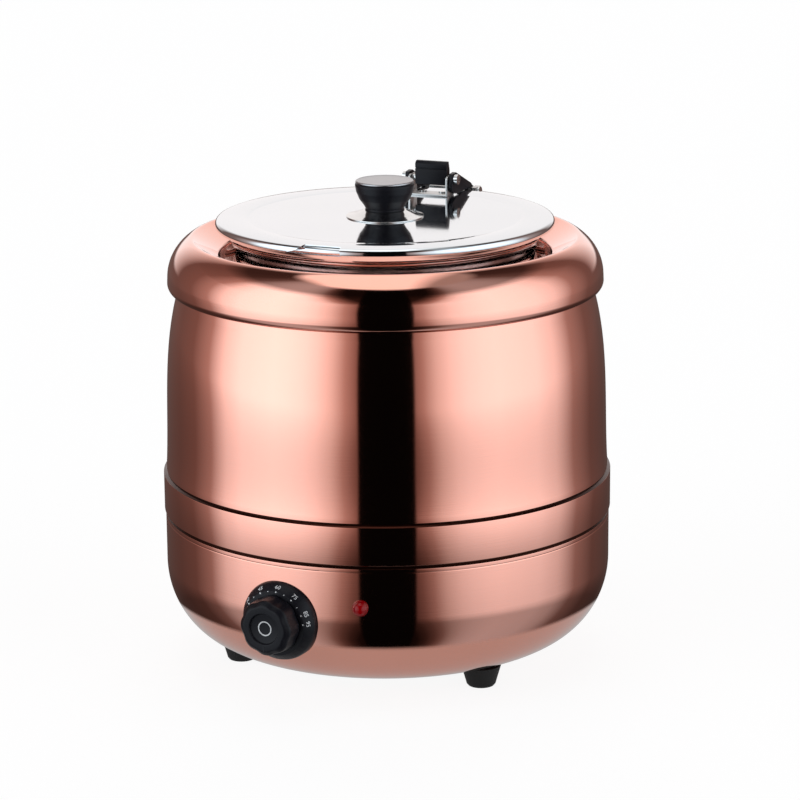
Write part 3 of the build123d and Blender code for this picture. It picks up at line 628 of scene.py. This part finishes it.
def lid_knob():
    low = LID_FLAT_Z + FLANGE_RISE + 0.1
    top = KNOB_TOP_Z - CAP_T - 0.1
    neck = GRIP_NECK_R
    line = [(0, low)] + rounded([
        (12, low, 0), (neck + 0.5, low, 0.3), (neck, low + 1.5, 1.0), (neck + 1.6, low + 4.2, 3),
        (neck + 4.6, low + 8.2, 3), (neck + 7, low + 13.9, 4), (GRIP_R, low + 18.4, 1.5),
        (GRIP_R - 0.2, top - 0.6, 0.4), (GRIP_R - 1, top, 0.2), (0, top, 0),
    ], 8)
    grip = lathe("knob_grip", line, 128)
    paint(grip, BLACK)
    install(grip, "lid", "lid_knob")
    low = KNOB_TOP_Z - CAP_T
    cap_line = [(0, low)] + rounded([
        (19, low, 0), (GRIP_R - 0.9, low, 0.2), (GRIP_R - 0.4, low + 0.5, 0.3),
        (GRIP_R - 0.7, low + 1.3, 0.4), (GRIP_R - 1.4, KNOB_TOP_Z - 0.05, 0.4),
        (GRIP_R - 2.2, KNOB_TOP_Z - 0.4, 0.3),
        (GRIP_R - 3, KNOB_TOP_Z - 0.5, 0.5), (0, KNOB_TOP_Z - 0.5, 0),
    ])
    cap = lathe("knob_top", cap_line, 128)
    paint(cap, GREY_CAP)
    install(cap, "lid", "knob_cap")
    low = LID_FLAT_Z + 0.1
    plate_top = low + FLANGE_RISE - 0.1
    plate_line = [(3, low)] + rounded([
        (27, low, 0), (FLANGE_PLATE_R, low, 0.2), (FLANGE_PLATE_R, low + 0.7, 0.25),
        (FLANGE_PLATE_R - 6, low + 1.7, 8), (neck + 1.6, plate_top, 1), (3, plate_top, 0),
    ])
    plate = lathe("knob_plate", plate_line, 128)
    paint(plate, BRIGHT)
    install(plate, "lid", "knob_flange")


# ---------------------------------------------------------------- control, dial and lamp


def scalloped(angle, r):
    """The control knob's radius, pulled in between its shallow lobes on the outer wall."""
    if r < 15:
        return r
    wave = (0.5 - 0.5 * cos(SCALLOPS * angle)) ** 1.6
    reach = min(1, (r - 15) / 4)
    return r - SCALLOP_DEPTH * wave * reach


def control():
    depth = CONTROL_FRONT - DIAL_FACE - 1
    line = rounded([
        (3.2, depth - 4.5, 0), (3.2, 0, 0.3), (6.5, 0, 0.3), (6.5, depth - 6, 0.5), (16.5, depth - 6, 0.5),
        (16.5, 0, 0.3), (CONTROL_R, 0, 0.5), (CONTROL_R - 0.9, depth - 3, 3), (CONTROL_R - 4.4, depth, 3.5),
        (DISH_R + 0.6, depth, 0.9), (DISH_R, depth - 1.5, 0.5), (DISH_R, depth - 3, 0.2), (0, depth - 3, 0),
    ], 6)
    line.append((0, depth - 4.5))
    place = on_azimuth(CONTROL_AZ, DIAL_FACE + 1, CONTROL_Z)
    grip = lathe("control_grip", line, 216, scalloped, place, 40)
    paint(grip, BLACK)
    install(grip, "control", "control_knob")
    level = depth - 2.5

    def hollow(r):
        """The dish's curved floor."""
        return level + 0.9 * (r / DISH_R) ** 2

    radii = [DISH_R - 0.1 - (DISH_R - 0.1) * i / 16 for i in range(17)]
    disc_line = [(0, level - 0.45), (DISH_R - 0.1, level - 0.45)] + [(r, hollow(r)) for r in radii]
    disc = lathe("control_disc", disc_line, 96, None, place)
    paint(disc, BLACK)
    install(disc, "control", "knob_disc")
    small, large = RING_MARK
    mark_line = [(small, hollow(small) - 0.05), (small, hollow(small) + 0.05),
                 (large, hollow(large) + 0.05), (large, hollow(large) - 0.05)]
    mark = lathe("control_ring_mark", mark_line, 96, None, place)
    paint(mark, MARKS)
    install(mark, "control")
    pointer = prism([(-0.5, -17), (0.5, -17), (0.5, -12.4), (-0.5, -12.4)], depth - 1.0, depth + 0.12, place)
    paint(pointer, GLOSS_BLACK)
    install(pointer, "control")


def dial_number(label, matrix):
    text = bpy.data.curves.new("dial_text", "FONT")
    text.body = label
    text.size = NUMBER_SIZE * MM
    text.align_x = "CENTER"
    text.align_y = "CENTER"
    text.extrude = 0.06 * MM
    text.materials.append(MARKS)
    obj = link("dial_number_" + label, text)
    matrix.translation = matrix.translation * MM
    obj.matrix_world = matrix
    return obj


def dial():
    """The bezel keeps its CAD form; its dots are printed on the face and its numbers on the sloping flank."""
    bezel = rounded_copy("bezel_skin", "dial_bezel", 0.5)
    paint(bezel, BLACK)
    install(bezel, "housing", "dial_bezel")
    place = on_azimuth(CONTROL_AZ, 0, CONTROL_Z)
    tilt = Matrix.Rotation(-atan2(FLANK_FALL, 1), 4, "X")
    fall = (NUMBER_PCR - FLANK_R) * FLANK_FALL
    on_flank = Matrix.Translation((0, NUMBER_PCR, DIAL_FACE - fall + 0.06))
    for i in range(MARK_COUNT):
        spin = Matrix.Rotation(radians(-FIRST_MARK - MARK_STEP * i), 4, "Z")
        dot_r = 0.62 if i in LABELS else 0.42
        dot = lathe("dial_dot_%02d" % i, [(0, 0), (dot_r, 0), (dot_r, 0.12), (0, 0.16)], 24, None,
                    place @ spin @ Matrix.Translation((0, DOT_PCR, DIAL_FACE - 0.02)))
        paint(dot, MARKS)
        install(dot, "housing")
        if i in LABELS:
            number = dial_number(LABELS[i], place @ spin @ on_flank @ tilt)
            install(number, "housing")


def lamp():
    place = on_azimuth(LAMP_AZ, LAMP_SEAT_R, LAMP_Z)
    line = [(0, -3)] + rounded([(4.4, -3, 0), (4.4, 0, 0.2), (5.8, 0, 0.2), (5.8, 1.2, 0.2), (5.4, 1.5, 0)])
    line += arc((0, 1.3), 5.3, 5.1, 0, 90, 16)
    line[-1] = (0, 6.4)
    lens = lathe("lamp_dome", line, 96, None, place)
    paint(lens, LENS)
    install(lens, "housing", "lamp_lens")


# ---------------------------------------------------------------- hinge and the rest


def hinge():
    for name, cad, width, mat, body_name, slot in (
        ("thumb_tab", "thumb_flap", 0.6, BLACK, "lid", "black_plastic"),
        ("hinge_cheeks", "hinge_arms", 0.4, BLACK, "lid", "black_plastic"),
        ("hinge_strap", "lid_bracket", 0.25, DULL_STEEL, "lid", "stainless"),
        ("rim_foot", "rim_clamp", 0.4, DULL_STEEL, "pot", "stainless"),
    ):
        piece = rounded_copy(name, cad, width)
        paint(piece, mat)
        install(piece, body_name, cad)


FINISHES = {
    DULL_STEEL: ("base_plate",),
    BRIGHT: ("knob_washer", "knob_screw", "hinge_pin", "pin_washers", "bracket_pin", "pin_nuts",
             "clamp_screw", "bracket_rivets", "plug_pins", "thermostat_shaft", "capillary"),
    ZINC: ("ring_screws", "ring_nuts", "base_screws", "base_nuts", "foot_screws", "foot_nuts", "heater_studs",
           "heater_nuts", "element_clamp", "thermostat_nut", "bezel_screws", "terminal_screws", "lamp_nut",
           "heating_element"),
    CAST: ("heater_plate",),
    BLACK: ("gland_nut", "cord_gland", "mains_plug", "lid_spring"),
    RUBBER: ("feet",),
    CORD: ("power_cord",),
    WOOL: ("well_insulation",),
    PALE: ("thermostat_body", "thermal_cutout", "terminal_block"),
    LEADS: ("wiring_harness",),
    GLASS: ("lamp_bulb",),
}


def carried_over():
    for mat, names in FINISHES.items():
        for name in names:
            paint(NODES[name], mat)


# ---------------------------------------------------------------- studio


def math_node(nodes, links, operation, one, two=None):
    made = node(nodes, "ShaderNodeMath", operation=operation)
    for socket, value in zip(made.inputs, (one, two)):
        if value is None:
            continue
        if isinstance(value, (int, float)):
            socket.default_value = value
        else:
            links.new(value, socket)
    return made.outputs[0]


def map_range(nodes, links, source, inside, outside):
    made = node(nodes, "ShaderNodeMapRange")
    made.inputs["From Min"].default_value, made.inputs["From Max"].default_value = inside
    made.inputs["To Min"].default_value, made.inputs["To Max"].default_value = outside
    links.new(source, made.inputs["Value"])
    return made.outputs["Result"]


def floor():
    """A pale floor that is wide to the camera and only table-sized in reflections."""
    bm = bmesh.new()
    bmesh.ops.create_circle(bm, cap_ends=True, segments=96, radius=9000)
    plane = finish_mesh("studio_floor", bm)
    mat, nodes, links, shader = material("floor")
    shader.inputs["Base Color"].default_value = (0.93, 0.93, 0.93, 1)
    shader.inputs["Roughness"].default_value = 0.9
    shader.inputs["Specular IOR Level"].default_value = 0.1
    seen = node(nodes, "ShaderNodeLightPath")
    glow = node(nodes, "ShaderNodeEmission", Color=(1, 1, 1, 1))
    camera_ray = seen.outputs["Is Camera Ray"]
    strength = map_range(nodes, links, camera_ray, (0.0, 1.0), (FLOOR_IN_METAL, FLOOR_GLOW))
    links.new(strength, glow.inputs["Strength"])
    blend = node(nodes, "ShaderNodeMixShader", Fac=FLOOR_GLOW_SHARE)
    links.new(shader.outputs[0], blend.inputs[1])
    links.new(glow.outputs[0], blend.inputs[2])
    # Away from the table's middle the floor is clear to all but the camera
    where = node(nodes, "ShaderNodeNewGeometry")
    flat = node(nodes, "ShaderNodeVectorMath", operation="MULTIPLY")
    flat.inputs[1].default_value = (1, 1, 0)
    links.new(where.outputs["Position"], flat.inputs[0])
    away = node(nodes, "ShaderNodeVectorMath", operation="LENGTH")
    links.new(flat.outputs[0], away.inputs[0])
    fade = node(nodes, "ShaderNodeMapRange", interpolation_type="SMOOTHSTEP")
    fade.inputs["From Min"].default_value = TABLE_NEAR
    fade.inputs["From Max"].default_value = TABLE_FAR
    links.new(away.outputs["Value"], fade.inputs["Value"])
    unseen = math_node(nodes, links, "SUBTRACT", 1, camera_ray)
    hidden = math_node(nodes, links, "MULTIPLY", fade.outputs["Result"], unseen)
    clear = node(nodes, "ShaderNodeBsdfTransparent")
    table = node(nodes, "ShaderNodeMixShader")
    links.new(hidden, table.inputs["Fac"])
    links.new(blend.outputs[0], table.inputs[1])
    links.new(clear.outputs[0], table.inputs[2])
    links.new(table.outputs[0], nodes["Material Output"].inputs["Surface"])
    paint(plane, mat)


def soft_boxes(nodes, links, heading, swing, height):
    """The light of the two soft boxes, by the angle from the gap's middle and by height."""
    # Low down and high up, the boxes stand further from the gap
    low_spread = map_range(nodes, links, height, (-0.12, -0.72), (0.95, 1.4))
    high_spread = map_range(nodes, links, height, (0.4, 0.85), (0.95, 2.0))
    inner = math_node(nodes, links, "MAXIMUM", low_spread, high_spread)
    outer = map_range(nodes, links, inner, (1.0, 2.0), (1.0, 1.25))
    offset = math_node(nodes, links, "SUBTRACT", swing, radians(BOX_AZ))
    inwards = math_node(nodes, links, "MULTIPLY", offset, inner)
    right_reach = map_range(nodes, links, heading, MIDDLE, (1.0, 0.8))
    outer = math_node(nodes, links, "MULTIPLY", outer, right_reach)
    outwards = math_node(nodes, links, "MULTIPLY", offset, outer)
    from_box = math_node(nodes, links, "MINIMUM", inwards, outwards)
    from_gap = math_node(nodes, links, "ADD", from_box, radians(BOX_AZ))
    around = node(nodes, "ShaderNodeValToRGB")
    elements = around.color_ramp.elements
    while len(elements) < len(BOX_LEVELS):
        elements.new(0.5)
    for element, (angle, level) in zip(elements, BOX_LEVELS):
        # Dim parts of the surroundings are warmer, the brightest are cooler
        light = min(1, level / FULL_LEVEL)
        peak = min(1, max(0, (level - FULL_LEVEL) / 0.5))
        green = 0.55 + 0.45 * light + 0.09 * peak
        blue = 0.45 + 0.58 * light + 0.14 * peak
        element.position = angle / 180
        element.color = (level, level * green, level * blue, 1)
    links.new(math_node(nodes, links, "DIVIDE", from_gap, pi), around.inputs["Fac"])
    low_fade = map_range(nodes, links, height, (-0.13, -0.42), (1.0, 0.3))
    right_fade = map_range(nodes, links, heading, MIDDLE, (1.0, 0.87))
    gap_edge = map_range(nodes, links, swing, [radians(angle) for angle in GAP_EDGE], (0.0, 1.0))
    top_fade = map_range(nodes, links, height, (0.62, 0.74), (1.0, 0.27))
    strength = low_fade
    for fade in (right_fade, gap_edge, top_fade):
        strength = math_node(nodes, links, "MULTIPLY", strength, fade)
    boxes = node(nodes, "ShaderNodeVectorMath", operation="SCALE")
    links.new(around.outputs["Color"], boxes.inputs[0])
    links.new(strength, boxes.inputs["Scale"])
    return boxes.outputs[0]


def backdrop_light(nodes, links, swing, height):
    """The pale backdrop behind the kettle, seen above the horizon, and the gap's faint level everywhere."""
    above = map_range(nodes, links, height, (-0.02, 0.03), (0.0, 1.0))
    behind = map_range(nodes, links, swing, (radians(138), radians(160)), (0.0, BACKDROP_LEVEL))
    backdrop = math_node(nodes, links, "MULTIPLY", above, behind)
    return math_node(nodes, links, "ADD", backdrop, GAP_LEVEL)


def canopy_light(nodes, links, side):
    """The overhead light's level, bright in the middle and left, dim at the sides."""
    from_left = map_range(nodes, links, side, (-0.43, -0.33), (0.0, 1.0))
    from_right = map_range(nodes, links, side, (0.14, 0.28), (1.0, 0.0))
    middle = math_node(nodes, links, "MULTIPLY", from_left, from_right)
    return map_range(nodes, links, middle, (0.0, 1.0), CANOPY_LEVELS)


def world():
    """White to the camera; to the kettle, two tall soft boxes either side of a dark gap."""
    studio = bpy.data.worlds.new("studio")
    bpy.context.scene.world = studio
    studio.use_nodes = True
    nodes, links = studio.node_tree.nodes, studio.node_tree.links
    where = node(nodes, "ShaderNodeTexCoord")
    turn = node(nodes, "ShaderNodeMapping")
    turn.vector_type = "VECTOR"
    turn.inputs["Rotation"].default_value = (0, 0, radians(90 - VIEW_AZ))
    links.new(where.outputs["Generated"], turn.inputs["Vector"])
    parts = node(nodes, "ShaderNodeSeparateXYZ")
    links.new(turn.outputs["Vector"], parts.inputs["Vector"])
    side, height = parts.outputs["Y"], parts.outputs["Z"]
    heading = math_node(nodes, links, "ARCTAN2", side, parts.outputs["X"])
    swing = math_node(nodes, links, "ABSOLUTE", heading)
    boxes = soft_boxes(nodes, links, heading, swing, height)
    backdrop = backdrop_light(nodes, links, swing, height)
    level = node(nodes, "ShaderNodeVectorMath", operation="ADD")
    links.new(boxes, level.inputs[0])
    links.new(backdrop, level.inputs[1])
    lift = map_range(nodes, links, height, (0.89, 0.92), (0.0, 1.0))
    overhead = node(nodes, "ShaderNodeMix", data_type="RGBA")
    links.new(lift, overhead.inputs["Factor"])
    links.new(level.outputs[0], overhead.inputs[MIX_A])
    links.new(canopy_light(nodes, links, side), overhead.inputs[MIX_B])
    seen = node(nodes, "ShaderNodeLightPath")
    mix = node(nodes, "ShaderNodeMix", data_type="RGBA")
    links.new(seen.outputs["Is Camera Ray"], mix.inputs["Factor"])
    links.new(overhead.outputs[MIX_RESULT], mix.inputs[MIX_A])
    mix.inputs[MIX_B].default_value = (1, 1, 1, 1)
    links.new(mix.outputs[MIX_RESULT], nodes["Background"].inputs["Color"])


def camera():
    """A long lens a little above the lid, from the right of the front."""
    eye = Vector(EYE)
    target = Vector(TARGET)
    roll = radians(CAMERA_ROLL)
    forward = (target - eye).normalized()
    right = Vector((1, 0, 0))
    up = right.cross(forward)
    axis_x = right * cos(roll) + up * sin(roll)
    axis_y = up * cos(roll) - right * sin(roll)
    turn = Matrix((axis_x, axis_y, -forward)).transposed().to_4x4()
    data = bpy.data.cameras.new("camera")
    data.lens = LENS_LENGTH
    data.sensor_width = SENSOR
    data.clip_end = 50
    obj = link("camera", data)
    orbit = Matrix.Rotation(radians(VIEW_AZ), 4, "Z")
    obj.matrix_world = orbit @ Matrix.Translation(eye * MM) @ turn
    bpy.context.scene.camera = obj


body()
ring()
well()
pot()
lid()
lid_knob()
control()
dial()
lamp()
hinge()
carried_over()
floor()
world()
camera()
bpy.context.scene.view_settings.view_transform = "Standard"
